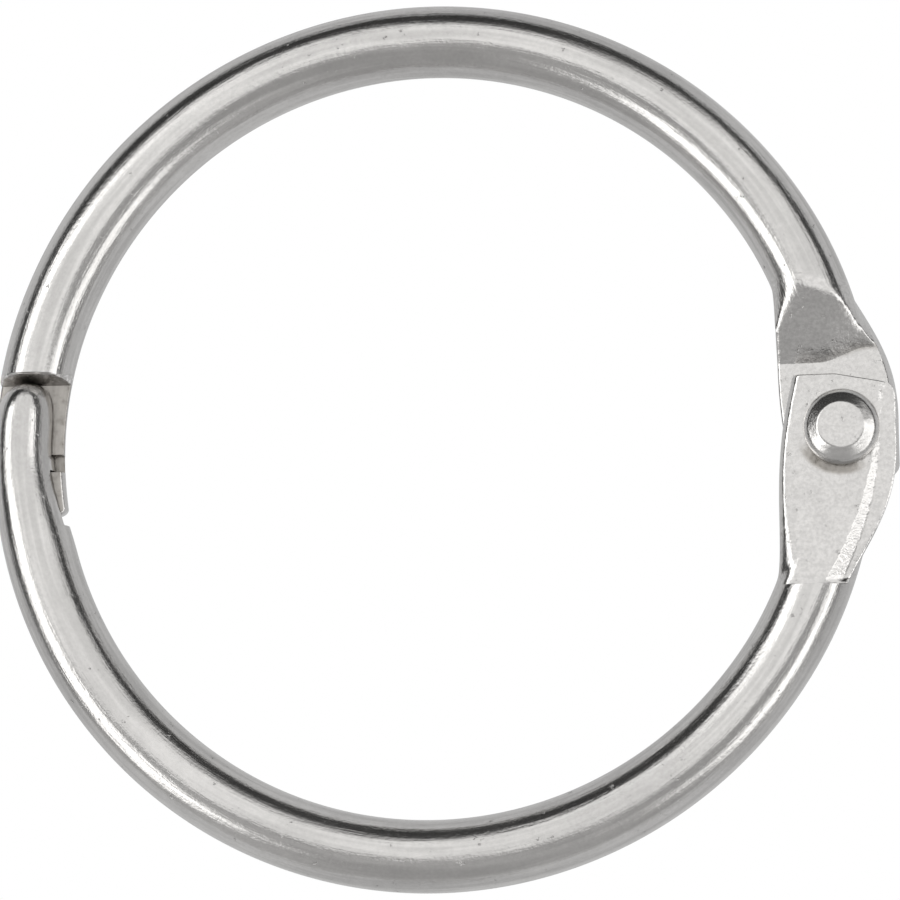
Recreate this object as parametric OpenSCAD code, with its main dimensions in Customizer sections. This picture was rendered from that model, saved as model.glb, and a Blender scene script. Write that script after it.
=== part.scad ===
// Hinged loose-leaf ring for keys, cards and swatches.
// Two half rings of round wire turn on one rivet at +X and are held shut
// by hooked tongues that lap over each other at -X.
// The closed ring lies in the XY plane with its centre on the origin.
// The front, towards +Z, shows the lower half's plate and tongue.

/* [Ring] */
// Clear diameter inside the closed ring
ring_inside_d = 25.4; // [19:0.1:51]
// Diameter of the round wire
wire_d = 2.45; // [2.2:0.05:3]

/* [Hinge plates] */
// Thickness of the flattened end of each half
plate_t = 0.92; // [0.7:0.01:1.1]
// Gap between the two plates
plate_gap = 0.1; // [0.08:0.01:0.15]
// Distance of the rivet's axis outside the wire's centre circle
hinge_offset = 0.1; // [0:0.01:0.3]
// Reach of each plate past the rivet's centre to its free end
plate_free_l = 1.8; // [1.5:0.01:1.9]
// Slope of the free end across the plate, in degrees
plate_end_tilt = 7; // [0:1:10]
// Reach of each plate from the rivet towards the ring's centre
plate_inner_w = 2.16; // [1.7:0.01:2.6]
// Reach of each plate from the rivet away from the ring's centre
plate_outer_w = 1.86; // [1.6:0.01:2.4]
// Radius of the long curve of the plate's inner edge
inner_edge_r = 15.6; // [12:0.1:20]
// Radius of the long curve of the plate's outer edge
outer_edge_r = 8.8; // [8:0.1:12]
// Distance from the rivet to the step where the pressed face ends
face_step_l = 5.2; // [4.6:0.05:6]
// Distance from the rivet to the foot of the sloped shoulder
shoulder_foot_l = 2.45; // [2.4:0.01:3]
// Length of the sloped shoulder along the ring
shoulder_run = 2.25; // [2:0.05:3]
// Width of the bevel along the plate's outer edge
edge_bevel = 0.45; // [0.2:0.05:0.6]

/* [Rivet] */
// Diameter of the rivet's shank
rivet_d = 1.6; // [1.2:0.05:1.9]
// Radial clearance of the shank in the plates
rivet_clearance = 0.05; // [0.03:0.01:0.08]
// Gap between each rivet head and its plate
head_gap = 0.035; // [0.02:0.005:0.06]
// Diameter of each rivet head where it meets the plate
rivet_head_d = 2.55; // [2.2:0.05:2.9]
// Diameter of the flat on top of each head
rivet_flat_d = 1.5; // [1:0.05:1.9]
// Height of each rivet head
rivet_head_h = 0.64; // [0.4:0.02:0.8]
// Height of the straight rim at the foot of each head
rivet_rim_h = 0.28; // [0.05:0.01:0.4]

/* [Latch] */
// Direction of the latch's middle, in degrees from the hinge
latch_angle = 179.2; // [170:0.1:185]
// Length of the lap of the two tongues
lap_l = 5.2; // [4.6:0.1:6.3]
// Width of the front tongue, from the outer side of the wire
tongue_w = 2.02; // [1.7:0.02:2.2]
// How far each tooth stands past the middle plane
tooth_h = 0.3; // [0.2:0.02:0.36]
// Length of the front tongue's tooth
tooth_l = 0.5; // [0.4:0.05:0.8]
// Distance of the teeth's meeting face from the lap's middle
hook_offset = 0.68; // [0.3:0.01:0.9]
// Clearance between the two tongues
latch_clearance = 0.05; // [0.03:0.01:0.1]
// Gap from the tip of each tongue to the other half's shoulder
tip_gap = 0.2; // [0.08:0.01:0.3]

/* [Hidden] */
$fn = 96;
fine_fn = 192;

wire_r = wire_d / 2;
ring_r = ring_inside_d / 2 + wire_r;
plate_base = plate_gap / 2;
plate_top = plate_base + plate_t;
head_base = plate_top + head_gap;
head_top = head_base + rivet_head_h;
inner_edge_mid = 1.9;
outer_edge_mid = 0.35;
blank_share = 0.4;
blank_depth = wire_r * blank_share;
reach = 4 * wire_d;
wire_into_plate = 0.6;
wire_hinge_angle = asin((shoulder_foot_l - wire_into_plate) / ring_r);
tongue_mid_r = ring_r + wire_r - tongue_w / 2;
wire_latch_overlap = 3;
lap_angle = asin(lap_l / 2 / ring_r);
tongue_root_overlap = 2;
nickel = [0.8, 0.79, 0.77];
rivet_nickel = [0.74, 0.73, 0.71];

// ---- shared pieces -------------------------------------------------

// Puts its children at the hinge, with the rivet's axis on Z.
module at_hinge() {
    translate([ring_r + hinge_offset, 0, 0]) children();
}

// Turns its children so that the lap's middle is at -X.
module at_latch() {
    rotate([0, 0, latch_angle - 180]) children();
}

// Turns a lower half's feature into the upper half's, about the X axis.
module flipped() {
    rotate([180, 0, 0]) children();
}

// A stretch of round wire between two directions about the ring's centre.
module wire_span(from, to, r = wire_r) {
    rotate_extrude(start = from, angle = to - from)
        translate([ring_r, 0]) circle(r = r);
}

// A profile in the YZ plane, drawn through the wire's whole width at the
// hinge (side = 1) or at the latch (side = -1).
module across(side) {
    translate([side * ring_r - reach, 0, 0])
        rotate([90, 0, 90])
            linear_extrude(height = 2 * reach) children();
}

// ---- hinge ends, drawn for the lower half ---------------------------

// Outline of the flattened end: two long curves and a sloped free end.
module plate_outline_block(z0, z1) {
    at_hinge() intersection() {
        translate([inner_edge_r - plate_inner_w, -inner_edge_mid, z0])
            cylinder(r = inner_edge_r, h = z1 - z0, $fn = fine_fn);
        translate([plate_outer_w - outer_edge_r, outer_edge_mid, z0])
            cylinder(r = outer_edge_r, h = z1 - z0, $fn = fine_fn);
        rotate([0, 0, -plate_end_tilt])
            translate([-reach, plate_free_l - reach, z0])
                cube([2 * reach, reach, z1 - z0]);
        translate([-reach, -face_step_l, z0])
            cube([2 * reach, reach + face_step_l, z1 - z0]);
    }
}

// Everything behind the plate and its sloped shoulder.
module shoulder_cut() {
    slope_top = shoulder_foot_l + shoulder_run * (reach + plate_base) / (wire_r + plate_base);
    across(1) polygon([
        [reach, plate_base],
        [-shoulder_foot_l, plate_base],
        [-slope_top, -reach],
        [reach, -reach]
    ]);
}

// What the press took off the front of the wire beside the plate.
module face_cut() {
    across(1) polygon([
        [-face_step_l, plate_top],
        [reach, plate_top],
        [reach, reach],
        [-face_step_l, reach]
    ]);
}

// The bevel along the plate's outer edge.
module edge_bevel_cut() {
    at_hinge() intersection() {
        translate([plate_outer_w - outer_edge_r, outer_edge_mid, 0])
            rotate_extrude($fn = fine_fn) polygon([
                [outer_edge_r - 2 * edge_bevel, plate_top],
                [outer_edge_r + wire_r, plate_top - edge_bevel - wire_r / 2],
                [outer_edge_r + wire_r, plate_top + wire_r],
                [outer_edge_r - 2 * edge_bevel, plate_top + wire_r]
            ]);
        translate([-wire_r / 2, -face_step_l, 0])
            cube([reach, reach + face_step_l, reach]);
    }
}

module rivet_hole() {
    at_hinge() cylinder(r = rivet_d / 2 + rivet_clearance, h = 2 * reach, center = true);
}

// ---- latch ends, drawn with the lap's middle at -X ------------------

// The space in front of the lap that the front tongue fills.
module front_lap_profile() {
    polygon([
        [-lap_l / 2, tooth_h + latch_clearance],
        [-hook_offset, tooth_h + latch_clearance],
        [-hook_offset, -tooth_h],
        [tooth_l - hook_offset, -tooth_h],
        [tooth_l - hook_offset, latch_clearance / 2],
        [lap_l / 2, latch_clearance / 2],
        [lap_l / 2, reach],
        [-lap_l / 2, reach]
    ]);
}

// The space behind the lap that the rear tongue fills.
module rear_lap_profile() {
    polygon([
        [tip_gap - lap_l / 2, -reach],
        [tip_gap - lap_l / 2, tooth_h],
        [-hook_offset - latch_clearance, tooth_h],
        [-hook_offset - latch_clearance, -tooth_h - latch_clearance],
        [tooth_l - hook_offset + latch_clearance, -tooth_h - latch_clearance],
        [tooth_l - hook_offset + latch_clearance, -latch_clearance / 2],
        [lap_l / 2, -latch_clearance / 2],
        [lap_l / 2, -reach]
    ]);
}

// Half space on one side of a lap shoulder: side 1 keeps the lower half.
module past_shoulder(side) {
    across(-1) polygon([
        [-side * lap_l / 2, -reach],
        [side * 2 * reach, -reach],
        [side * 2 * reach, reach],
        [-side * lap_l / 2, reach]
    ]);
}

// Narrow tongue with a round nose, flush with the ring's outer side, on the lower half.
module front_tongue() {
    nose_y = lap_l / 2 - tip_gap - tongue_w / 2;
    intersection() {
        wire_span(180 - lap_angle - tongue_root_overlap, 180 + lap_angle + tongue_root_overlap);
        union() {
            translate([-tongue_mid_r, nose_y, -reach])
                cylinder(r = tongue_w / 2, h = 2 * reach);
            difference() {
                translate([0, 0, -reach])
                    cylinder(r = ring_r + 2 * wire_r, h = 2 * reach, $fn = fine_fn);
                translate([0, 0, -2 * reach])
                    cylinder(r = tongue_mid_r - tongue_w / 2, h = 4 * reach, $fn = fine_fn);
                translate([-2 * ring_r, nose_y, -reach])
                    cube([2 * ring_r, ring_r, 2 * reach]);
            }
        }
        across(-1) front_lap_profile();
    }
}

// Tongue as wide as the wire, behind the lap, on the upper half.
module rear_tongue() {
    intersection() {
        wire_span(180 - lap_angle - tongue_root_overlap, 180 + lap_angle + tongue_root_overlap);
        across(-1) rear_lap_profile();
    }
}

// ---- sub-parts -----------------------------------------------------

// Half ring behind the hinge and behind the lap, from the hinge over +Y.
module upper_half_ring() {
    color(nickel) union() {
        difference() {
            union() {
                wire_span(wire_hinge_angle, latch_angle - lap_angle + wire_latch_overlap);
                flipped() plate_outline_block(-blank_depth, plate_top);
            }
            flipped() shoulder_cut();
            flipped() face_cut();
            flipped() edge_bevel_cut();
            rivet_hole();
            at_latch() past_shoulder(-1);
        }
        at_latch() rear_tongue();
    }
}

// Half ring in front at the hinge and at the lap, from the hinge over -Y.
module lower_half_ring() {
    color(nickel) union() {
        difference() {
            union() {
                wire_span(latch_angle + lap_angle - wire_latch_overlap, 360 - wire_hinge_angle);
                plate_outline_block(-blank_depth, plate_top);
            }
            shoulder_cut();
            face_cut();
            edge_bevel_cut();
            rivet_hole();
            at_latch() past_shoulder(1);
        }
        at_latch() front_tongue();
    }
}

// Rivet with a flat-topped conical head on each side.
module hinge_rivet() {
    color(rivet_nickel) at_hinge() rotate_extrude() polygon([
        [0, -head_top],
        [rivet_flat_d / 2, -head_top],
        [rivet_head_d / 2, -head_base - rivet_rim_h],
        [rivet_head_d / 2, -head_base],
        [rivet_d / 2, -head_base],
        [rivet_d / 2, head_base],
        [rivet_head_d / 2, head_base],
        [rivet_head_d / 2, head_base + rivet_rim_h],
        [rivet_flat_d / 2, head_top],
        [0, head_top]
    ]);
}

upper_half_ring();
lower_half_ring();
hinge_rivet();
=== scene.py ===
"""Hinged loose-leaf ring: two nickel-plated half rings, a hinge rivet and a plain studio.

Each half ring is one closed surface. A section is carried along the ring from the free end of
the hinge plate to the tip of the latch tongue, and its outline changes from a pressed plate to
round wire and then to a tongue. The rivet is a profile turned about the hinge axis.
"""

import math
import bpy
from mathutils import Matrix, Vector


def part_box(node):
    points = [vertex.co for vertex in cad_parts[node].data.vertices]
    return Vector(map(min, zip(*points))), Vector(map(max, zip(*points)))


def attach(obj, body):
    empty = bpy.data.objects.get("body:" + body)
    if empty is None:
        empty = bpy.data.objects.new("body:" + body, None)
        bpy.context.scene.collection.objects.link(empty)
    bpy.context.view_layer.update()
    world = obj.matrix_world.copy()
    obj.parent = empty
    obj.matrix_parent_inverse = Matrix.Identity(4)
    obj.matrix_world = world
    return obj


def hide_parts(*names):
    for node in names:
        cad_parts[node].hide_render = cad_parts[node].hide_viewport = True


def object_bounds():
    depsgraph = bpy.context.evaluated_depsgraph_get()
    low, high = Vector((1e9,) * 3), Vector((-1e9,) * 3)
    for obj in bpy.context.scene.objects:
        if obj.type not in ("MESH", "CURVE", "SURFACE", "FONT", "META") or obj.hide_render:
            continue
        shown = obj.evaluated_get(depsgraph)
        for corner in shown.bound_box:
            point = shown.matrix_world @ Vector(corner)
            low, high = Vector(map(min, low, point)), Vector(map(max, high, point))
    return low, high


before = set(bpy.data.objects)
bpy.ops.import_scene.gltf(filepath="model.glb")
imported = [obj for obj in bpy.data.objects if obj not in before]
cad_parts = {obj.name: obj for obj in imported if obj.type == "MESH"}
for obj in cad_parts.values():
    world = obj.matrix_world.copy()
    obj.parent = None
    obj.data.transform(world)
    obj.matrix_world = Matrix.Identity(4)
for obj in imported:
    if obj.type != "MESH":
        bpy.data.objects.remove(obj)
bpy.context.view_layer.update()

from types import SimpleNamespace

import bpy
import numpy as np
from bpy.props import FloatProperty, FloatVectorProperty, PointerProperty
from mathutils import Matrix

bl_info = {
    "name": "Hinged loose-leaf ring",
    "version": (1, 0, 0),
    "blender": (4, 5, 0),
    "location": "View3D > Sidebar > Loose-leaf ring",
    "description": "Builds a nickel-plated hinged ring with a riveted hinge and a hooked latch",
    "category": "Add Mesh",
}

MM = 0.001

# Measures read from the CAD's frame, in metres.
RIVET_LOW, RIVET_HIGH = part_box("hinge_rivet")
HINGE_X = (RIVET_LOW.x + RIVET_HIGH.x) / 2
WIRE_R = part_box("upper_half_ring")[1].z
RING_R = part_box("upper_half_ring")[1].y - WIRE_R
HEAD_R = (RIVET_HIGH.x - RIVET_LOW.x) / 2
HEAD_TOP = RIVET_HIGH.z
FLOOR_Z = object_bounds()[0].z


def length(name, description, millimetres, low=0.0):
    """A size in metres, given by its default in millimetres."""
    return FloatProperty(name=name, description=description, default=millimetres * MM,
                         min=low, unit="LENGTH", precision=5)


def colour(name, description, rgb):
    """A colour given by its default red, green and blue shares."""
    return FloatVectorProperty(name=name, description=description, default=rgb,
                               subtype="COLOR", size=3, min=0.0, max=1.0)


# ---- sizes and colours that a user would change ----------------------------------------


class HingePlateSizes(bpy.types.PropertyGroup):
    """Sizes of the pressed hinge end, the same on both halves."""

    base: length("Base height", "Height of the plate's back above the middle plane", 0.05)
    top: length("Face height", "Height of the plate's face above the middle plane", 0.97)
    free: length("Free end", "Reach past the rivet to the free end", 1.83)
    inner: length("Inner reach", "Reach from the rivet towards the ring's centre", 2.16)
    outer: length("Outer reach", "Reach from the rivet away from the ring's centre", 1.85)
    step: length("Face step", "Distance from the rivet to the step at the end of the face", 5.2)
    foot: length("Shoulder foot", "Distance from the rivet to the foot of the shoulder", 2.35)
    run: length("Shoulder run", "Length of the sloped shoulder", 2.36)
    corner: length("Corner radius", "Radius of the free end's outer corner", 0.4)
    edge: length("Edge radius", "Rounding of the free end's edge", 0.06)
    end_slope: FloatProperty(name="End slope", description="Slope of the free end's outer half",
                             unit="ROTATION", default=math.radians(11))
    ridge_slope: FloatProperty(name="Ridge slope", description="Slope from the face to the land",
                               unit="ROTATION", default=math.radians(13))


class TongueSizes(bpy.types.PropertyGroup):
    """Sizes of the two latch tongues."""

    middle: FloatProperty(name="Latch direction", description="Direction of the latch's middle",
                          unit="ROTATION", default=math.radians(179.2))
    lap: length("Lap", "Length of the lap of the two tongues", 5.2)
    gap: length("Tip gap", "Gap from a tongue's tip to the other shoulder", 0.27)
    clearance: length("Clearance", "Clearance between the tongues", 0.05)
    tooth: length("Tooth height", "Height of each tooth past the middle plane", 0.3)
    tooth_length: length("Tooth length", "Length of the front tooth", 0.5)
    hook: length("Hook offset", "Distance from the lap's middle to the meeting face", 0.68)
    front_width: length("Front width", "Width of the front tongue from the ring's outer side", 2.02)
    nose: length("Nose length", "Length of the front tongue's round nose", 1.7)
    rear_end: length("Rear end length", "Length of the rounding at the rear tongue's tip", 0.4)


class FinishSettings(bpy.types.PropertyGroup):
    """Colours of the plated metal and of the studio."""

    nickel: colour("Nickel", "Colour of the bright nickel plate", (0.665, 0.655, 0.645))
    floor: colour("Floor", "Colour of the plain floor", (1.0, 1.0, 1.0))


# ---- helpers for surfaces ---------------------------------------------------------------

SHARP_ANGLE = math.radians(50)   # faces that meet at more than this are shaded apart


def ease(x, start, end):
    """Smooth step: 0 before start, 1 after end, and 3t^2 - 2t^3 between them."""
    t = np.clip((x - start) / (end - start), 0.0, 1.0)
    return t * t * (3.0 - 2.0 * t)


def blunt(t, power):
    """Quarter of a superellipse: (1 - t^power)^(1/power), from 1 at t = 0 to 0 at t = 1."""
    return np.power(np.clip(1.0 - np.clip(t, 0.0, 1.0) ** power, 0.0, 1.0), 1.0 / power)


def grid_mesh(name, rings, straight, pressed, grime_and_shade, rubbed_and_highlight):
    """Puts a closed tube into a mesh: rings (n, m, 3) joined along n and round m.

    The two ends are closed with a fan to the mean of the first and the last ring. straight
    (n, m, 3) is each point's place along, across and up the wire as if it were straight.
    The three marks after it, each (n, m) and from 0 to 1, mark pressed metal, painted shade
    that is also dull, and worn metal with painted highlight. All four become point attributes
    that the materials read.
    """
    n, m, _ = rings.shape
    points = np.vstack([rings.reshape(-1, 3), rings[:1].mean(axis=1), rings[-1:].mean(axis=1)])
    rows, columns = np.meshgrid(np.arange(n - 1), np.arange(m), indexing="ij")
    following = (columns + 1) % m
    quads = np.stack([rows * m + columns, rows * m + following,
                      (rows + 1) * m + following, (rows + 1) * m + columns], axis=-1).reshape(-1, 4)
    turn = np.arange(m)
    start_fan = np.stack([(turn + 1) % m, turn, np.full(m, n * m)], axis=-1)
    last = (n - 1) * m
    end_fan = np.stack([last + turn, last + (turn + 1) % m, np.full(m, n * m + 1)], axis=-1)
    corners = np.concatenate([quads.ravel(), start_fan.ravel(), end_fan.ravel()])
    sizes = np.concatenate([np.full(len(quads), 4), np.full(2 * m, 3)])
    starts = np.concatenate([[0], np.cumsum(sizes)[:-1]])
    mesh = bpy.data.meshes.new(name)
    mesh.vertices.add(len(points))
    mesh.vertices.foreach_set("co", points.astype(np.float32).ravel())
    mesh.loops.add(len(corners))
    mesh.loops.foreach_set("vertex_index", corners.astype(np.int32))
    mesh.polygons.add(len(sizes))
    mesh.polygons.foreach_set("loop_start", starts.astype(np.int32))
    mesh.polygons.foreach_set("use_smooth", np.ones(len(sizes), dtype=bool))
    mesh.update(calc_edges=True)
    places = np.vstack([straight.reshape(-1, 3), straight[:1].mean(axis=1),
                        straight[-1:].mean(axis=1)])
    mesh.attributes.new("straight", "FLOAT_VECTOR", "POINT").data.foreach_set(
        "vector", places.astype(np.float32).ravel())
    # pressed metal, painted shade (also dull) and worn metal with painted highlight, stored as
    # point attributes
    for title, values in (("pressed", pressed), ("grime_and_shade", grime_and_shade), ("rubbed_and_highlight", rubbed_and_highlight)):
        values = np.concatenate([values.ravel(), [values[0].mean(), values[-1].mean()]])
        mesh.attributes.new(title, "FLOAT", "POINT").data.foreach_set(
            "value", values.astype(np.float32))
    mesh.set_sharp_from_angle(angle=SHARP_ANGLE)
    mesh.validate()
    return mesh


def add_piece(name, mesh, body, node, material):
    """Links a finished mesh at the origin, on its body, in place of its CAD node."""
    piece = bpy.data.objects.new(name, mesh)
    bpy.context.scene.collection.objects.link(piece)
    mesh.materials.append(material)
    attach(piece, body)
    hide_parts(node)
    return piece


def ray_to_ellipse(cx, cz, dx, dz, a, b):
    """Distance from (cx, cz) along (dx, dz) to the ellipse with half axes a and b.

    (dx, dz) has unit length; the larger root t of ((cx + t dx) / a)^2 + ((cz + t dz) / b)^2 = 1.
    """
    px, pz, qx, qz = cx / a, cz / b, dx / a, dz / b
    square = qx * qx + qz * qz
    half = px * qx + pz * qz
    inside = np.maximum(half * half - square * (px * px + pz * pz - 1.0), 0.0)
    return (np.sqrt(inside) - half) / square


def ray_to_flat(dx, dz, nx, nz, distance):
    """Inverse distance along (dx, dz) to the flat with unit normal (nx, nz) at that distance."""
    return np.maximum(dx * nx + dz * nz, 0.0) / np.maximum(distance, 1e-7)


# ---- half rings -------------------------------------------------------------------------

TURNS = 168                 # points round a section
CRISP = 18.0                # power that joins the limits of a section
UNION = 40.0                # power that joins wire, block and swell
FACE_OPEN = 2.2 * MM        # height of the plate's face where it cuts nothing
LAP_OPEN = -9 * MM          # height of the lap's face where it cuts nothing
SMALLEST = 0.02 * MM        # half size of the last section of a tongue
HALF_STEP = 0.02 * MM       # half length of a step between two levels
NEAR_STEP = 0.03 * MM       # how far the closer stations reach on each side of a step
BEFORE_ZONE = 1.2 * MM      # how far the close stations start before the plate and the lap
BLOCK_LOW = -0.45 * MM      # underside of the plate's block
RIM_BEVEL = 0.39            # direction of the bevel under the outer rim, in radians
RIM_BEVEL_TOP = 0.46 * MM   # height at which that bevel meets the rim
LAND_LOW = 0.35 * MM        # height below which the land is not pressed
LAND_FALL = 0.08            # slope of the land itself
FOOT_SLANT = 0.5 * MM       # how much further out the shoulder's foot lies at the outer edge
LINE_GAP = 0.1 * MM         # least distance between two lines of the plate
WALL_FALL = 0.1 * MM        # least depth of the bevel from the face to the wall
# directions from the hinge and from the latch's middle between which the sections turn from
# square to the hinge or latch line to square to the wire
HINGE_TURN = (math.radians(24), math.radians(48))
LATCH_TURN = (math.radians(13), math.radians(30))
# crescent of painted shadow round the rivet's lower side: its middle's direction, and how far
# from it the painted shadow starts to fall off and ends
CRESCENT_MIDDLE, CRESCENT_FULL, CRESCENT_END = (math.radians(t) for t in (252, 25, 58))


def stations(start, stop, step, breaks, fine):
    """Places along the ring: an even row, with a closer row over each (from, to) break."""
    rows = [np.arange(start, stop, step)]
    rows += [np.arange(low, high, fine) for low, high in breaks]
    row = np.unique(np.round(np.concatenate(rows), 9))
    row = row[(row >= start) & (row <= stop)]
    return row[np.concatenate([[True], np.diff(row) > fine * 0.6])]


def either(p, *inverses):
    """Rounded union of limits given as inverse distances."""
    return sum((np.maximum(i, 1e-6) ** -p for i in inverses)) ** (-1.0 / p)


def column(values):
    """One value per section, shaped to meet arrays of one value per point."""
    return np.asarray(values)[:, None]


# Lines of the pressed plate: distance past the rivet as a share of the face step, then reach
# as a share of the inner reach (wall, face) or of the outer reach (crest, land, rim).
PLATE_LINES = {
    "wall": ((.346, .769), (.21, .819), (.087, .903), (-.015, .949), (-.169, .977), (-.325, .995),
             (-.615, 1.009), (-.885, 1.037), (-1.0, 1.065)),
    "face": ((.333, .667), (.21, .718), (.087, .81), (-.015, .847), (-.169, .884), (-.325, .903),
             (-.479, .898), (-.635, .875), (-.767, .81), (-.883, .759), (-.975, .741)),
    "crest": ((.281, .634), (.156, .634), (-.192, .489), (-.356, .419), (-.477, .296),
              (-.598, .172), (-.719, .043), (-.8, -.102), (-.89, -.253), (-.971, -.36)),
    "land": ((.281, .774), (.115, .715), (-.192, .645), (-.356, .559), (-.477, .462),
             (-.681, .328), (-.781, .151), (-.892, .027), (-.973, -.065)),
    "rim": ((.212, 1.005), (.025, 1.0), (-.14, .973), (-.285, .93), (-.438, .844), (-.55, .753),
            (-.652, .597), (-.771, .387), (-.883, .21), (-.994, .054)),
}
RIM_STRAIGHT_FROM = 0.1     # share of the face step past which the rim keeps its reach


def plate_line(name, along):
    """One line of the plate as a smooth curve: the quartic nearest to its listed points."""
    places, reaches = np.array(PLATE_LINES[name]).T
    return np.polyval(np.polyfit(places, reaches, 4), along)


def aimed_angles(corners_x, corners_z, shares, cx, cz):
    """Angles of rays from (cx, cz) to points spread along a closed outline.

    Corner j of the outline takes column share shares[j]; points between corners lie evenly on
    the straight line from one to the next.
    """
    place = np.linspace(0.0, 1.0, TURNS, endpoint=False)
    j = np.searchsorted(shares, place, side="right") - 1
    t = (place - shares[j]) / (shares[j + 1] - shares[j])
    x = corners_x[:, j] * (1 - t) + corners_x[:, j + 1] * t
    z = corners_z[:, j] * (1 - t) + corners_z[:, j + 1] * t
    return np.unwrap(np.arctan2(z - cz, x - cx), axis=1)


def lap_shape(tongue, rear):
    """Where the face of the lap steps, and how the tongue ends.

    shoulder is the span over which the face rises to its first level, steps are the places
    where it changes level, and levels its heights before, between and after them. The nose is
    a superellipse of the given length, power and half width.
    """
    shoulder = -tongue.lap / 2
    if rear:
        return SimpleNamespace(
            shoulder=(shoulder, shoulder + 0.3 * MM),
            steps=(tongue.hook - tongue.tooth_length - tongue.clearance,
                   tongue.hook + tongue.clearance),
            levels=(tongue.clearance / 2, tongue.tooth + tongue.clearance, -tongue.tooth),
            nose=tongue.rear_end, power=2.5, half_width=WIRE_R)
    return SimpleNamespace(
        shoulder=(shoulder - HALF_STEP, shoulder + HALF_STEP),
        steps=(-tongue.hook, -tongue.hook + tongue.tooth_length),
        levels=(tongue.tooth + tongue.clearance, -tongue.tooth, tongue.clearance / 2),
        nose=tongue.nose, power=2.6, half_width=tongue.front_width / 2)


def lap_face(y, shape, rear):
    """Height of the lap's stepped face at the places y along the latch.

    Before the shoulder it lies far below the wire. It rises to the first level in a straight
    slope on the rear half and in a smooth step on the front half, and changes level by
    smooth steps after that.
    """
    start, stop = shape.shoulder
    if rear:
        share = np.clip((y - start) / (stop - start), 0.0, 1.0)
        face = np.where(y < start, LAP_OPEN, -WIRE_R + (shape.levels[0] + WIRE_R) * share)
    else:
        face = LAP_OPEN + (shape.levels[0] - LAP_OPEN) * ease(y, start, stop)
    for place, before, after in zip(shape.steps, shape.levels[:-1], shape.levels[1:]):
        face += (after - before) * ease(y, place - HALF_STEP, place + HALF_STEP)
    return face


def section_directions(plate, shape, middle, lap_start, tip):
    """Directions f of the sections round the ring, and how far each is drawn in.

    At the hinge and at the latch f is the arc sine of a place over the ring's radius, with
    places close together at every edge; between them f is even. The draw-in is a quarter
    circle over the plate's free end, which rounds its edge, and 0 elsewhere.
    """
    end = plate.free - plate.edge
    hinge_zone = stations(-plate.step - BEFORE_ZONE, end, 0.05 * MM,
                          [(-plate.step - 0.08 * MM, -plate.step + 0.08 * MM),
                           (-plate.foot - 0.08 * MM, -plate.foot + 0.1 * MM)], 0.014 * MM)
    quarter = np.linspace(0.0, math.pi / 2, 7)
    hinge_y = np.concatenate([(end + plate.edge * np.sin(quarter))[::-1], hinge_zone[::-1][1:]])
    hinge_f = np.arcsin(hinge_y / RING_R)

    spans = [shape.shoulder] + [(p - NEAR_STEP, p + NEAR_STEP) for p in shape.steps]
    lap_zone = stations(lap_start - BEFORE_ZONE, tip - shape.nose, 0.045 * MM,
                        [(low - NEAR_STEP, high + NEAR_STEP) for low, high in spans], 0.012 * MM)
    round_nose = np.linspace(0.0, math.pi / 2 - 0.03, 44)[1:]
    lap_y = np.concatenate([lap_zone, tip - shape.nose + shape.nose * np.sin(round_nose)])
    lap_f = middle - np.arcsin(lap_y / RING_R)

    arc_f = np.linspace(hinge_f[-1], lap_f[0], 180)[1:-1]
    f = np.concatenate([hinge_f, arc_f, lap_f])
    drawn_in = (plate.edge * (1.0 - np.cos(quarter)))[::-1]
    return f, column(np.concatenate([drawn_in, np.zeros(len(f) - len(drawn_in))]))


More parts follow.
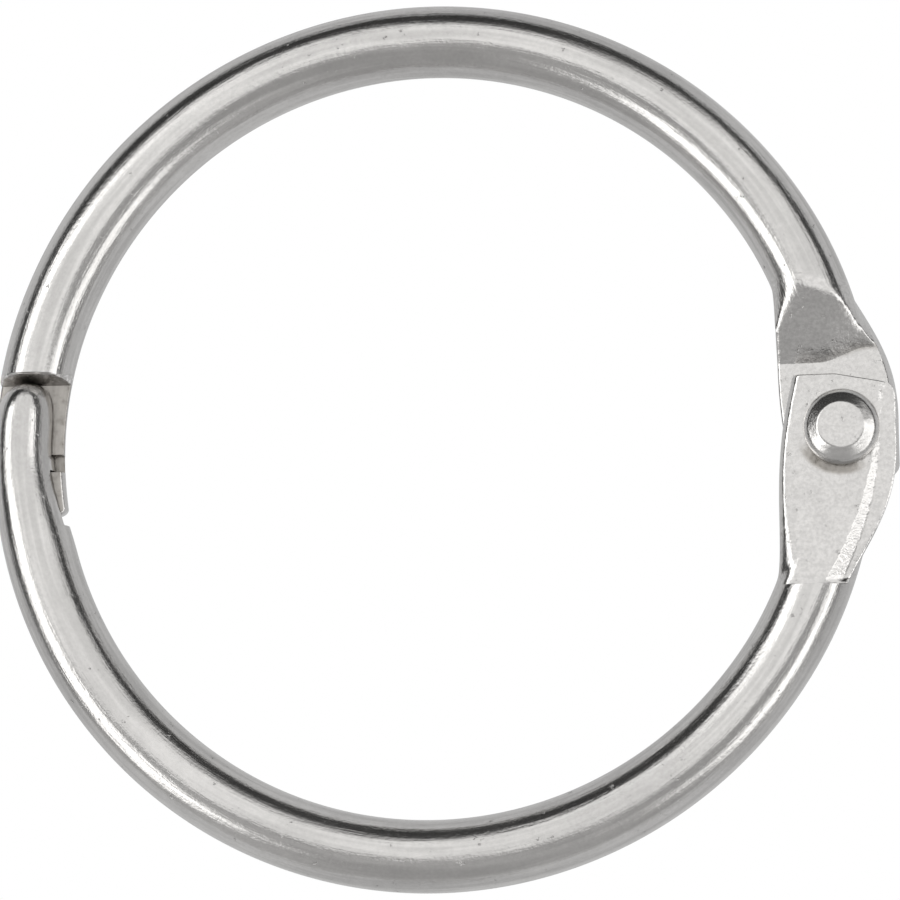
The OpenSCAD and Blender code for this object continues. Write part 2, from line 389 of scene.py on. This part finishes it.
def half_ring_surface(plate, tongue, rear):
    """The closed surface of one half ring, drawn with its plate in front and towards -Y.

    Station: a direction f about the ring's centre, from the free end of the plate at +f down
    to the tongue's tip past -180 degrees. Section: the points c + r(k) d(k), where c is a
    centre inside the section and d(k) a ray that turns once round. On the wire the rays turn
    evenly; on the plate they are aimed at its own lines. The body is the rounded union of the
    wire's ellipse, the plate's block and, low on the plate's inner side, a wider ellipse that
    meets the plate's wall. r is the rounded intersection
    (sum of (1 / distance) ^ power) ^ (-1 / power) of the body with the pressed face and the
    sloped shoulder behind, or with the lap's stepped face; the block has its own two bevels.
    The land along the plate's outer edge is then pressed down by a ramp in z, and the
    shoulder's foot is slanted by scaling its drop. Sections stand square to the hinge line at
    the hinge and to the latch line at the latch, and square to the wire between them.

    Returns the points, their straightened places, and four values from 0 to 1 a point that
    the material reads: pressed, painted shade (also dull) and worn metal with painted
    highlight, after the places.
    """
    middle = -tongue.middle if rear else -(2 * math.pi - tongue.middle)
    lap_start, tip = -tongue.lap / 2, tongue.lap / 2 - tongue.gap
    shape = lap_shape(tongue, rear)
    nose_start = tip - shape.nose
    f, inset = section_directions(plate, shape, middle, lap_start, tip)

    # direction of each section's plane, and its place past the hinge line or the latch line
    from_hinge, from_latch = np.abs(f), np.abs(f - middle)
    hinge_side = from_hinge < math.pi / 2
    square_up = np.where(
        hinge_side, f * ease(from_hinge, *HINGE_TURN),
        middle + (f - middle) * ease(from_latch, *LATCH_TURN))
    slant = 1.0 / np.cos(f - square_up)
    v = np.where(hinge_side, RING_R * np.sin(f), -RING_R)
    y = np.where(~hinge_side, RING_R * np.sin(np.clip(middle - f, -1.5, 1.5)), -RING_R)

    # hinge: lines of the plate in the section's own x, measured from the wire's centre line
    along = np.clip(v, -plate.step, plate.free) / plate.step
    to_rivet = HINGE_X - RING_R * np.cos(np.where(hinge_side, f, 0.0))
    inner = to_rivet - plate.inner * plate_line("wall", along)
    face_edge = to_rivet - plate.inner * plate_line("face", along)
    corner = np.clip(v - (plate.free - plate.corner), 0.0, plate.corner)
    outer = to_rivet + plate.outer * plate_line("rim", np.minimum(along, RIM_STRAIGHT_FROM))
    outer = outer - plate.corner + np.sqrt(plate.corner ** 2 - corner ** 2)
    land = np.minimum(to_rivet + plate.outer * plate_line("land", along), outer - LINE_GAP)
    crest = np.minimum(to_rivet + plate.outer * plate_line("crest", along), land - LINE_GAP)
    on_plate = ease(v, -plate.step - 0.1 * MM, -plate.step + 1.1 * MM)
    on_ridge = ease(v, -plate.step, -plate.step + 0.25 * MM)
    fall = WALL_FALL + 0.5 * (face_edge - inner)
    cx = (inner + outer) / 2 * on_plate
    face = plate.top + (FACE_OPEN - plate.top) * ease(-v, plate.step - HALF_STEP,
                                                      plate.step + HALF_STEP)
    shoulder = plate.base - (-plate.foot - v) * (WIRE_R + plate.base) / plate.run
    shoulder = np.clip(shoulder, -3 * WIRE_R, plate.base)
    cz_hinge = (1.0 * MM + np.maximum(shoulder, -WIRE_R)) / 2

    # latch: stepped face of the lap, the narrowed tongue and the nose
    close = blunt((y - nose_start) / shape.nose, shape.power)
    lap = lap_face(y, shape, rear)
    floor_level = shape.levels[-1]
    width = WIRE_R + (shape.half_width - WIRE_R) * ease(y, lap_start - 0.9 * MM, 0.3 * MM)
    nose_x = WIRE_R - width
    on_nose = y > nose_start
    a = np.maximum(width * close, SMALLEST) * slant
    b = np.where(on_nose, floor_level + (WIRE_R - floor_level) * close ** 0.6, WIRE_R)
    b = np.maximum(b, SMALLEST)
    cz_lap = 0.68 * MM * ease(y, lap_start - 1.1 * MM, lap_start - 0.25 * MM)
    nose_centre = floor_level + 0.45 * (b - floor_level)
    cz_lap = np.where(on_nose, nose_centre + (cz_lap - nose_centre) * close, cz_lap)
    cz = column(np.where(hinge_side, cz_hinge, cz_lap))
    cx = column(np.where(hinge_side, cx, nose_x))
    wire_x = column(np.where(hinge_side, 0.0, nose_x))

    # rays: even turns on the wire, aimed at the plate's own lines on the plate
    top = np.full_like(f, plate.top)
    low = np.maximum(shoulder, BLOCK_LOW)
    corners_x = np.stack([outer, outer, land, crest, face_edge, inner, inner,
                          outer - 0.15 * MM, outer], axis=1)
    corners_z = np.stack([cz_hinge, top, top, top, top, plate.top - fall, low, low,
                          cz_hinge], axis=1)
    shares = np.array([0.0, 0.07, 0.17, 0.25, 0.5, 0.58, 0.68, 0.93, 1.0])
    aimed = aimed_angles(corners_x, corners_z, shares, cx, cz)
    even = np.linspace(0.0, 2 * math.pi, TURNS, endpoint=False)[None, :]
    aim = np.where(hinge_side, ease(v, -plate.step - 1.1 * MM, -plate.step - 0.05 * MM), 0.0)
    k = even + (aimed - even) * column(aim)
    dx, dz = np.cos(k), np.sin(k)

    # limits of the body: the wire, and the swell that meets the wall under the plate's inner side
    at_hinge = column(hinge_side)
    wire = 1.0 / np.maximum(ray_to_ellipse(cx - wire_x, cz, dx, dz, column(a) - inset,
                                           column(b) - inset), 1e-6)
    reach_in = np.where(hinge_side, np.maximum(a, -1.08 * inner), a)
    swell = ray_to_ellipse(cx, cz, dx, dz, column(reach_in) - inset, WIRE_R - inset)
    swell_on = (at_hinge & (dx < 0) & (cz + swell * dz < BLOCK_LOW)
                & column(v > -plate.step))
    swell = 1.0 / np.where(swell_on, np.maximum(swell, 1e-6), 1e-6)

    # the plate's block, with a bevel from the face's inner edge and one under the outer rim
    left = ray_to_flat(dx, dz, -1.0, 0.0, cx - column(inner) - inset)
    right = ray_to_flat(dx, dz, 1.0, 0.0, column(outer) - cx - inset)
    over = ray_to_flat(dx, dz, 0.0, 1.0, plate.top - cz - inset)
    under = ray_to_flat(dx, dz, 0.0, -1.0, cz - BLOCK_LOW)
    bevel = np.hypot(fall, face_edge - inner)
    bevel_x, bevel_z = column(-fall / bevel), column((face_edge - inner) / bevel)
    inner_bevel = ray_to_flat(
        dx, dz, bevel_x, bevel_z,
        (column(face_edge) - cx) * bevel_x + (plate.top - cz) * bevel_z - inset)
    rim_x, rim_z = math.cos(RIM_BEVEL), math.sin(RIM_BEVEL)
    rim_bevel = ray_to_flat(
        dx, dz, rim_x, -rim_z,
        (column(outer) - cx) * rim_x + (cz - RIM_BEVEL_TOP) * rim_z - inset)
    block = (left ** CRISP + right ** CRISP + over ** CRISP + under ** CRISP
             + inner_bevel ** CRISP + rim_bevel ** CRISP) ** (1.0 / CRISP)
    block_on = ease(v, -plate.step - HALF_STEP, -plate.step + HALF_STEP)
    block = block / np.maximum(column(block_on), 1e-3)

    # the body cut by the face and the shoulder at the hinge, and by the lap's face at the latch
    body = either(UNION, wire, block, swell)
    front = ray_to_flat(dx, dz, 0.0, 1.0, column(face) - cz - inset)
    back = ray_to_flat(dx, dz, 0.0, -1.0, cz - column(shoulder) - inset)
    parting = ray_to_flat(dx, dz, 0.0, -1.0, cz - column(lap))
    r = np.where(at_hinge, body ** CRISP + front ** CRISP + back ** CRISP,
                 wire ** CRISP + parting ** CRISP) ** (-1.0 / CRISP)
    x = cx + r * dx
    z = cz + r * dz

    # press the land along the outer edge, from the crest outwards
    depth = math.tan(plate.ridge_slope) * np.clip(x - column(crest), 0.0, column(land - crest))
    depth = depth + LAND_FALL * np.maximum(x - column(land), 0.0)
    height = np.clip((z - LAND_LOW) / (plate.top - LAND_LOW), 0.0, 1.0)
    z = z - np.where(at_hinge, depth * height * column(on_ridge), 0.0)

    # slant the shoulder: its foot lies further from the rivet towards the outer edge
    u = x - column(to_rivet)
    foot = plate.foot + FOOT_SLANT * ease(u, -0.8 * MM, 0.9 * MM)
    top_end = plate.foot + plate.run
    back_v = np.clip(-column(v), plate.foot + 1e-7, top_end)
    share = (np.clip((back_v - foot) / (top_end - foot), 0.0, 1.0)
             / ((back_v - plate.foot) / plate.run))
    z = np.where(at_hinge & (z < plate.base), plate.base + (z - plate.base) * share, z)

    # place the sections in space
    points = np.stack([column(RING_R * np.cos(f)) + x * column(np.cos(square_up)),
                       column(RING_R * np.sin(f)) + x * column(np.sin(square_up)), z], axis=-1)
    skew = ease(v, -1.5 * MM, plate.free) * math.tan(plate.end_slope)
    points[..., 1] -= np.where(at_hinge, column(skew) * np.maximum(u + 0.2 * MM, 0.0), 0.0)
    straight = np.stack([column(np.abs(f) * RING_R) + 0 * x, x, z], axis=-1)
    pressed = column(ease(v, -plate.step, -plate.step + 0.2 * MM)) + 0 * x

    # painted shade, with duller metal: the rivet's lower side, the shoulder's foot, the lap's cut
    # faces and its notch, its tip
    round_rivet = np.mod(np.arctan2(column(v), u), 2 * math.pi)
    from_rivet = np.hypot(column(v), u)
    # painted shadow in a crescent below the rivet's head
    crescent = (ease(np.abs(round_rivet - CRESCENT_MIDDLE), CRESCENT_END, CRESCENT_FULL)
                * ease(from_rivet, HEAD_R + 0.36 * MM, HEAD_R + 0.2 * MM) * (z > 0.5 * MM))
    # painted shade in the crease at the shoulder's foot
    foot_line = (ease(np.abs(-column(v) - foot), 0.16 * MM, 0.0) * (z < 0.1 * MM)
                 * ease(u, -0.5 * MM, 0.5 * MM))
    at_plate = np.where(at_hinge, np.maximum(crescent, 0.45 * foot_line), 0.0)
    shoulder_end = shape.shoulder[1]
    # painted shade on the lap's cut faces
    on_cut = ~at_hinge & (z < column(lap) + 0.03 * MM) & column(y > lap_start - HALF_STEP)
    dull_shaded_cut = 0.1 + 0.75 * ease(y, shoulder_end - HALF_STEP, shoulder_end)
    cut = np.where(on_cut, column(dull_shaded_cut), 0.0)
    # painted shade in the gap between the teeth
    notch = column(ease(lap, 0.1 * MM, 0.25 * MM)) * (cut > 0)
    grime_and_shade = np.maximum(at_plate, np.maximum(cut, notch))
    if not rear:
        # painted shadow in the gap at the front tongue's tip
        tip_edge = (column(ease(y, tip - 0.25 * MM, tip - 0.02 * MM))
                    * ease(z, 0.9 * MM, 0.5 * MM))
        grime_and_shade = np.maximum(grime_and_shade, np.where(at_hinge, 0.0, tip_edge))

    # bright places, painted highlight on worn metal: the ridge beside the face, the plate's rim,
    # the rear half's cut shoulder
    # painted highlight along the ridge beside the face
    ridge = (ease(x, column(crest) - 0.05 * MM, column(crest) + 0.1 * MM)
             * ease(x, column(land) + 0.1 * MM, column(land) - 0.05 * MM)
             * (at_hinge & (z > 0.6 * MM)) * column(on_ridge)
             * column(0.42 + 0.58 * ease(v, 0.2 * MM, -2.2 * MM)))
    # painted highlight along the plate's rim
    rim = (ease(x, column(outer) - 0.12 * MM, column(outer) - 0.04 * MM) * (z > 0.75 * MM)
           * column(v > -plate.step))
    # brightened strip on the rear half's cut shoulder
    sheared = (0.42 * rear * ease(y, lap_start, lap_start + 0.04 * MM)
               * ease(y, shoulder_end, shoulder_end - 0.04 * MM))
    rubbed_and_highlight = np.maximum(ridge, np.where(at_hinge, 0.8 * rim,
                                        column(sheared) * (z < WIRE_R * 0.98)))
    return points, straight, pressed, grime_and_shade, rubbed_and_highlight


def turned_over(points):
    """The same points turned half a turn about the X axis."""
    return points * np.array([1.0, -1.0, -1.0])


def rivet_surface():
    """The rivet: a profile of radius and height turned about the hinge axis.

    From the shank out under the front head to its rim, up over two short cones and a long one
    to the flat top and its centre; the back is the same mirrored. Each corner of the profile is
    rounded by a running mean over a closely spaced row of points.
    """
    flat_r, shank_r, head_height = 0.76 * MM, 0.8 * MM, 0.635 * MM
    turns, profile_points, rounding_passes = 128, 170, 5
    head_base = HEAD_TOP - head_height
    front = np.array([[shank_r, 0.0], [shank_r, head_base], [HEAD_R - 0.05 * MM, head_base],
                      [HEAD_R, head_base + 0.05 * MM], [HEAD_R, HEAD_TOP - 0.46 * MM],
                      [HEAD_R - 0.07 * MM, HEAD_TOP - 0.32 * MM],
                      [HEAD_R - 0.16 * MM, HEAD_TOP - 0.22 * MM],
                      [flat_r, HEAD_TOP], [0.0, HEAD_TOP]])
    lengths = np.concatenate([[0.0], np.cumsum(np.hypot(*np.diff(front, axis=0).T))])
    even = np.linspace(0.0, lengths[-1], profile_points)
    row = np.stack([np.interp(even, lengths, front[:, 0]),
                    np.interp(even, lengths, front[:, 1])], axis=-1)
    for _ in range(rounding_passes):
        row[1:-1] = (row[:-2] + row[1:-1] * 2 + row[2:]) / 4
    row = row[1:-1]
    profile = np.vstack([(row * [1, -1])[::-1], row])
    k = np.linspace(0.0, 2 * math.pi, turns, endpoint=False)[None, :]
    radius, height = profile[:, :1], profile[:, 1:]
    x, y, z = radius * np.cos(k), radius * np.sin(k), height + 0 * k
    points = np.stack([x + HINGE_X, y, z], axis=-1)
    straight = np.stack([x, y, z], axis=-1)
    flat = ease(np.hypot(x, y), flat_r, flat_r - 0.06 * MM) * (np.abs(z) > head_base)
    return points, straight, flat, 0.0 * flat, 0.0 * flat


# ---- materials --------------------------------------------------------------------------


class Shader:
    """Adds nodes and links to one node tree in short calls."""

    def __init__(self, tree):
        self.tree = tree

    def node(self, kind, **settings):
        """A new node of this kind with its settings filled in."""
        made = self.tree.nodes.new(kind)
        for key, value in settings.items():
            setattr(made, key, value)
        return made

    def feed(self, socket, value):
        """Links a socket to another, or sets a constant straight on it; None leaves it."""
        if isinstance(value, bpy.types.NodeSocket):
            self.tree.links.new(value, socket)
        elif value is not None:
            socket.default_value = value

    def math(self, operation, a, b=None, clamp=False):
        """One operation on one or two numbers."""
        made = self.node("ShaderNodeMath", operation=operation, use_clamp=clamp)
        for socket, value in zip(made.inputs, (a, b)):
            self.feed(socket, value)
        return made.outputs[0]

    def span(self, value, low, high, out_low=0.0, out_high=1.0):
        """Smooth step of value from low to high, spread over out_low to out_high."""
        made = self.node("ShaderNodeMapRange", interpolation_type="SMOOTHSTEP")
        for socket, item in zip(made.inputs, (value, low, high, out_low, out_high)):
            self.feed(socket, item)
        return made.outputs["Result"]

    def mix(self, factor, a, b):
        """a where factor is 0, b where it is 1."""
        made = self.node("ShaderNodeMix", data_type="FLOAT")
        self.feed(made.inputs["Factor"], factor)
        self.feed(made.inputs["A"], a)
        self.feed(made.inputs["B"], b)
        return made.outputs["Result"]

    def noise(self, vector, scale, detail, roughness):
        """Smooth noise from 0 to 1 over a place."""
        made = self.node("ShaderNodeTexNoise")
        self.feed(made.inputs["Vector"], vector)
        self.feed(made.inputs["Scale"], scale)
        self.feed(made.inputs["Detail"], detail)
        self.feed(made.inputs["Roughness"], roughness)
        return made.outputs["Fac"]

    def stretched(self, vector, scale):
        """A place with each of its three parts scaled on its own."""
        made = self.node("ShaderNodeMapping")
        self.feed(made.inputs["Vector"], vector)
        made.inputs["Scale"].default_value = scale
        return made.outputs["Vector"]

    def product(self, *values):
        """All values multiplied, from the left."""
        made = values[0]
        for value in values[1:]:
            made = self.math("MULTIPLY", made, value)
        return made

    def attribute(self, name, output="Fac"):
        """A value that grid_mesh stored on the mesh."""
        return self.node("ShaderNodeAttribute", attribute_name=name).outputs[output]

    def dot(self, vector, axis):
        """How far a vector reaches along a fixed axis."""
        made = self.node("ShaderNodeVectorMath", operation="DOT_PRODUCT")
        self.feed(made.inputs[0], vector)
        made.inputs[1].default_value = axis
        return made.outputs["Value"]


WIRE_FINISH = "drawn and pressed nickel"
RIVET_FINISH = "turned nickel"
BUMP_DEPTH = 0.00001


def nickel_material(name, rgb, roughness, streaks, dents):
    """Bright nickel plate, from the mesh's own marks and noise in its own coordinates.

    Relief: drawing streaks along the wire (straight), an even grain, pits, dimples where the
    metal is pressed and chatter on worn places. Shade: broad clouds, bands along the wire
    that fade on pressed metal, a fine mottle that is strongest there, darker pits, painted
    shade that is also duller and slightly yellow, and ragged painted highlights on worn places.
    """
    material = bpy.data.materials.new(name)
    material.use_nodes = True
    tree = material.node_tree
    tree.nodes.clear()
    s = Shader(tree)
    output = s.node("ShaderNodeOutputMaterial")
    metal = s.node("ShaderNodeBsdfPrincipled")
    tree.links.new(metal.outputs["BSDF"], output.inputs["Surface"])
    metal.inputs["Metallic"].default_value = 1.0
    place = s.node("ShaderNodeTexCoord").outputs["Object"]
    straight = s.attribute("straight", "Vector")
    pressed, grime_and_shade, rubbed_and_highlight = (s.attribute(title) for title in ("pressed", "grime_and_shade", "rubbed_and_highlight"))

    fine = s.noise(s.stretched(straight, (900, 12000, 12000)), 1.0, 3.0, 0.6)
    broad = s.noise(s.stretched(straight, (260, 3600, 3600)), 1.0, 2.0, 0.5)
    streak = s.math("ADD", s.product(fine, 0.7), s.product(broad, 1.5))
    grain = s.noise(place, 7000.0, 4.0, 0.65)
    spots = s.noise(place, 3000.0, 4.0, 0.6)
    dimple = s.noise(place, 3800.0, 3.0, 0.6)
    chatter = s.noise(place, 4200.0, 3.0, 0.7)
    pits = s.span(spots, s.math("ADD", 0.33, s.product(pressed, 0.04)), 0.27)
    ragged = s.math("ADD", rubbed_and_highlight, s.product(s.math("SUBTRACT", grain, 0.5), 2.0))
    # painted highlight where the mesh marks worn metal, made ragged by the grain
    bright = s.product(s.span(ragged, 0.4, 0.75), s.span(rubbed_and_highlight, 0.02, 0.1))
    # painted shade where the mesh marks it, also used to make the metal duller and slightly yellow
    dull_and_shaded = s.math("MULTIPLY", grime_and_shade, s.span(spots, 0.25, 0.55, 1.0, 0.7), clamp=True)

    height = s.product(streak, streaks)
    height = s.math("ADD", height, s.product(grain, 0.9))
    height = s.math("SUBTRACT", height, s.product(pits, 1.2))
    height = s.math("ADD", height, s.product(dimple, pressed, dents))
    height = s.math("ADD", height, s.product(chatter, rubbed_and_highlight, 6.0))
    bump = s.node("ShaderNodeBump")
    bump.inputs["Strength"].default_value = 0.8
    bump.inputs["Distance"].default_value = BUMP_DEPTH
    tree.links.new(height, bump.inputs["Height"])
    tree.links.new(bump.outputs["Normal"], metal.inputs["Normal"])

    rough = s.math("ADD", roughness - 0.03, s.product(streak, 0.06))
    rough = s.math("ADD", rough, s.product(pits, 0.15))
    rough = s.math("ADD", rough, s.product(dull_and_shaded, 0.25))
    rough = s.math("ADD", rough, s.product(bright, 0.08), clamp=True)
    tree.links.new(rough, metal.inputs["Roughness"])

    clouds = s.span(s.noise(place, 1500.0, 3.0, 0.6), 0.3, 0.7, 0.96, 1.02)
    mottle = s.span(s.noise(place, 8000.0, 3.0, 0.6), 0.3, 0.7, 0.9, 1.07)
    band = s.noise(s.stretched(straight, (120, 2600, 2600)), 1.0, 2.0, 0.6)
    band = s.span(band, 0.35, 0.65, 0.86, 1.06)
    mottled = s.math("ADD", 0.35, s.product(pressed, 0.65))
    shade = s.product(clouds, s.mix(pressed, band, 1.0), s.mix(mottled, 1.0, mottle))
    shade = s.math("SUBTRACT", shade, s.product(pits, 0.3))
    # darken the colour by the painted shade
    shade = s.product(shade, s.math("SUBTRACT", 1.0, s.product(dull_and_shaded, 0.65)))
    # lift the colour to 1.5 for the painted highlight
    shade = s.mix(bright, shade, 1.5)

    # slightly yellow where the painted shade falls
    soiled = s.node("ShaderNodeMix", data_type="RGBA")
    tree.links.new(dull_and_shaded, soiled.inputs["Factor"])
    soiled.inputs["A"].default_value = (*rgb, 1.0)
    soiled.inputs["B"].default_value = (rgb[0], rgb[1] * 0.95, rgb[2] * 0.88, 1.0)
    tint = s.node("ShaderNodeMix", data_type="RGBA", blend_type="MULTIPLY")
    tint.inputs["Factor"].default_value = 1.0
    tree.links.new(soiled.outputs["Result"], tint.inputs["A"])
    tree.links.new(shade, tint.inputs["B"])
    tree.links.new(tint.outputs["Result"], metal.inputs["Base Color"])
    return material


# ---- studio -----------------------------------------------------------------------------

CAMERA_DISTANCE = 0.15
SENSOR_WIDTH = 36.0
VIEW_RIGHT = math.radians(9.0)        # how far to the right of the ring's axis it is seen from
VIEW_BELOW = math.radians(7.5)        # and how far below it
HINGE_RISE = math.radians(1.85)       # turn of the hinge above the level of the centre
FRAME_WIDTH = 0.030512                # width of the view at the ring's middle plane
CENTRE_OFFSET = (0.0007, -0.000181)   # right and up from the ring's centre to the view's
FLOOR_REACH = 0.6
FLOOR_SEEN, FLOOR_GLOW = 1.0, 0.62    # strength to the camera, and in the metal
SURROUNDINGS_SEEN = 0.95


def studio_axes():
    """Right, up and towards-the-camera axes of the view, for a ring seen from its lower right."""
    def turn_x(t):
        return np.array([[1, 0, 0], [0, math.cos(t), -math.sin(t)], [0, math.sin(t), math.cos(t)]])

    def turn_y(t):
        return np.array([[math.cos(t), 0, math.sin(t)], [0, 1, 0], [-math.sin(t), 0, math.cos(t)]])

    def turn_z(t):
        return np.array([[math.cos(t), -math.sin(t), 0], [math.sin(t), math.cos(t), 0], [0, 0, 1]])

    return turn_y(-VIEW_RIGHT) @ turn_x(-VIEW_BELOW) @ turn_z(HINGE_RISE)


def add_camera():
    """A long lens that looks at the ring along the studio's third axis."""
    axes = studio_axes()
    data = bpy.data.cameras.new("camera")
    data.sensor_width = SENSOR_WIDTH
    data.lens = SENSOR_WIDTH * CAMERA_DISTANCE / FRAME_WIDTH
    data.clip_start, data.clip_end = 0.01, 10.0
    camera = bpy.data.objects.new("camera", data)
    bpy.context.scene.collection.objects.link(camera)
    place = axes[2] * CAMERA_DISTANCE + axes[0] * CENTRE_OFFSET[0] + axes[1] * CENTRE_OFFSET[1]
    matrix = np.eye(4)
    matrix[:3, :3] = axes.T
    matrix[:3, 3] = place
    camera.matrix_world = Matrix(matrix.tolist())
    bpy.context.scene.camera = camera


def light_world():
    """Soft studio surroundings by direction, in the studio's own axes.

    A broad soft light in front and above, with a dark seam along its lower edge; a dark band
    low beside it; a bright strip to the left and one to the right. lowered is the height that
    the soft light's edge is measured by: it dips towards the camera.
    """
    world = bpy.data.worlds.new("studio")
    bpy.context.scene.world = world
    world.use_nodes = True
    tree = world.node_tree
    tree.nodes.clear()
    s = Shader(tree)
    output = s.node("ShaderNodeOutputWorld")
    way = s.node("ShaderNodeTexCoord").outputs["Generated"]
    x, y, z = (s.dot(way, tuple(axis)) for axis in studio_axes())
    side = s.math("ABSOLUTE", x)
    tall = s.math("ABSOLUTE", y)
    lowered = s.math("ADD", y, s.span(z, 0.93, 0.985, 0.0, 0.25))

    level = s.mix(s.span(z, -0.25, -0.1), 0.55, 0.47)
    soft = s.product(s.span(lowered, -0.02, 0.06), s.span(y, 0.86, 0.76),
                     s.span(side, 0.78, 0.55), s.span(z, 0.3, 0.5))
    level = s.mix(soft, level, 1.05)
    dark = s.product(s.span(z, -0.28, -0.12), s.span(z, 0.5, 0.32), s.span(y, -0.55, -0.05))
    level = s.mix(dark, level, 0.05)
    seam = s.product(s.span(lowered, -0.09, -0.05), s.span(lowered, 0.03, -0.02),
                     s.span(side, 0.7, 0.5), s.span(z, 0.3, 0.5))
    level = s.mix(seam, level, 0.18)
    left = s.product(s.span(z, 0.24, 0.32), s.span(z, 0.7, 0.62), s.span(x, 0.0, -0.2),
                     s.span(tall, 0.6, 0.46))
    level = s.mix(left, level, 2.3)
    right = s.product(s.span(z, 0.36, 0.44), s.span(z, 0.78, 0.7), s.span(x, 0.0, 0.2),
                      s.span(y, 0.42, 0.3), s.span(y, -0.7, -0.55))
    level = s.mix(right, level, 1.8)
    ray = s.node("ShaderNodeLightPath").outputs["Is Camera Ray"]
    level = s.mix(ray, level, SURROUNDINGS_SEEN)
    background = s.node("ShaderNodeBackground")
    background.inputs["Color"].default_value = (1.0, 0.995, 0.985, 1.0)
    tree.links.new(level, background.inputs["Strength"])
    tree.links.new(background.outputs["Background"], output.inputs["Surface"])


def add_floor(rgb):
    """A wide plain floor under the ring, brighter to the camera than in the metal."""
    corners = np.array([(-1, -1), (1, -1), (1, 1), (-1, 1)]) * FLOOR_REACH
    points = [(float(x), float(y), FLOOR_Z) for x, y in corners]
    mesh = bpy.data.meshes.new("floor")
    mesh.from_pydata(points, [], [(0, 1, 2, 3)])
    floor = bpy.data.objects.new("floor", mesh)
    bpy.context.scene.collection.objects.link(floor)
    material = bpy.data.materials.new("pale floor")
    material.use_nodes = True
    tree = material.node_tree
    tree.nodes.clear()
    s = Shader(tree)
    output = s.node("ShaderNodeOutputMaterial")
    glow = s.node("ShaderNodeEmission")
    glow.inputs["Color"].default_value = (*rgb, 1.0)
    ray = s.node("ShaderNodeLightPath").outputs["Is Camera Ray"]
    tree.links.new(s.mix(ray, FLOOR_GLOW, FLOOR_SEEN), glow.inputs["Strength"])
    tree.links.new(glow.outputs["Emission"], output.inputs["Surface"])
    mesh.materials.append(material)


# ---- operators --------------------------------------------------------------------------


def wire_finish():
    """The half rings' shared metal, made the first time it is asked for."""
    return bpy.data.materials.get(WIRE_FINISH) or nickel_material(
        WIRE_FINISH, bpy.context.scene.ring_finish.nickel, roughness=0.13, streaks=1.0, dents=1.6)


def add_half(name, points, values, body, node):
    """Adds one half ring in the wire's metal."""
    mesh = grid_mesh(name, points, *values)
    add_piece(name, mesh, body, node, wire_finish())


class RING_OT_stage(bpy.types.Operator):
    """Add the plain floor, the soft studio surroundings and the camera"""

    bl_idname = "ring.stage"
    bl_label = "Studio"

    def execute(self, context):
        context.scene.view_settings.view_transform = "Standard"
        add_camera()
        light_world()
        add_floor(context.scene.ring_finish.floor)
        return {"FINISHED"}


class RING_OT_lower_half(bpy.types.Operator):
    """Add the lower half ring, with the front plate and the front tongue"""

    bl_idname = "ring.lower_half"
    bl_label = "Lower half ring"

    def execute(self, context):
        scene = context.scene
        points, *values = half_ring_surface(scene.ring_plate, scene.ring_tongue, rear=False)
        add_half("lower_half_wire", points, values, "lower_half", "lower_half_ring")
        return {"FINISHED"}


class RING_OT_upper_half(bpy.types.Operator):
    """Add the upper half ring, with the back plate and the rear tongue"""

    bl_idname = "ring.upper_half"
    bl_label = "Upper half ring"

    def execute(self, context):
        scene = context.scene
        points, *values = half_ring_surface(scene.ring_plate, scene.ring_tongue, rear=True)
        add_half("upper_half_wire", turned_over(points), values, "upper_half", "upper_half_ring")
        return {"FINISHED"}


class RING_OT_rivet(bpy.types.Operator):
    """Add the hinge rivet with its two conical heads"""

    bl_idname = "ring.rivet"
    bl_label = "Hinge rivet"

    def execute(self, context):
        mesh = grid_mesh("rivet_turned", *rivet_surface())
        finish = nickel_material(RIVET_FINISH, context.scene.ring_finish.nickel,
                                 roughness=0.16, streaks=0.4, dents=0.8)
        add_piece("rivet_turned", mesh, "rivet", "hinge_rivet", finish)
        return {"FINISHED"}


class RING_PT_builder(bpy.types.Panel):
    """Lists the ring's pieces and their sizes"""

    bl_idname = "RING_PT_builder"
    bl_label = "Loose-leaf ring"
    bl_space_type = "VIEW_3D"
    bl_region_type = "UI"
    bl_category = "Loose-leaf ring"

    def draw(self, context):
        for operator in (RING_OT_stage, RING_OT_lower_half, RING_OT_upper_half, RING_OT_rivet):
            self.layout.operator(operator.bl_idname)
        for group in ("ring_plate", "ring_tongue", "ring_finish"):
            settings = getattr(context.scene, group)
            box = self.layout.box()
            for name in settings.bl_rna.properties.keys():
                if name not in ("rna_type", "name"):
                    box.prop(settings, name)


CLASSES = (HingePlateSizes, TongueSizes, FinishSettings, RING_OT_stage, RING_OT_lower_half,
           RING_OT_upper_half, RING_OT_rivet, RING_PT_builder)


def register():
    for made in CLASSES:
        bpy.utils.register_class(made)
    bpy.types.Scene.ring_plate = PointerProperty(type=HingePlateSizes)
    bpy.types.Scene.ring_tongue = PointerProperty(type=TongueSizes)
    bpy.types.Scene.ring_finish = PointerProperty(type=FinishSettings)


def unregister():
    del bpy.types.Scene.ring_finish
    del bpy.types.Scene.ring_tongue
    del bpy.types.Scene.ring_plate
    for made in reversed(CLASSES):
        bpy.utils.unregister_class(made)


def main():
    """Builds the stage and every piece."""
    register()
    bpy.ops.ring.stage()
    bpy.ops.ring.lower_half()
    bpy.ops.ring.upper_half()
    bpy.ops.ring.rivet()


if __name__ == "__main__":
    main()
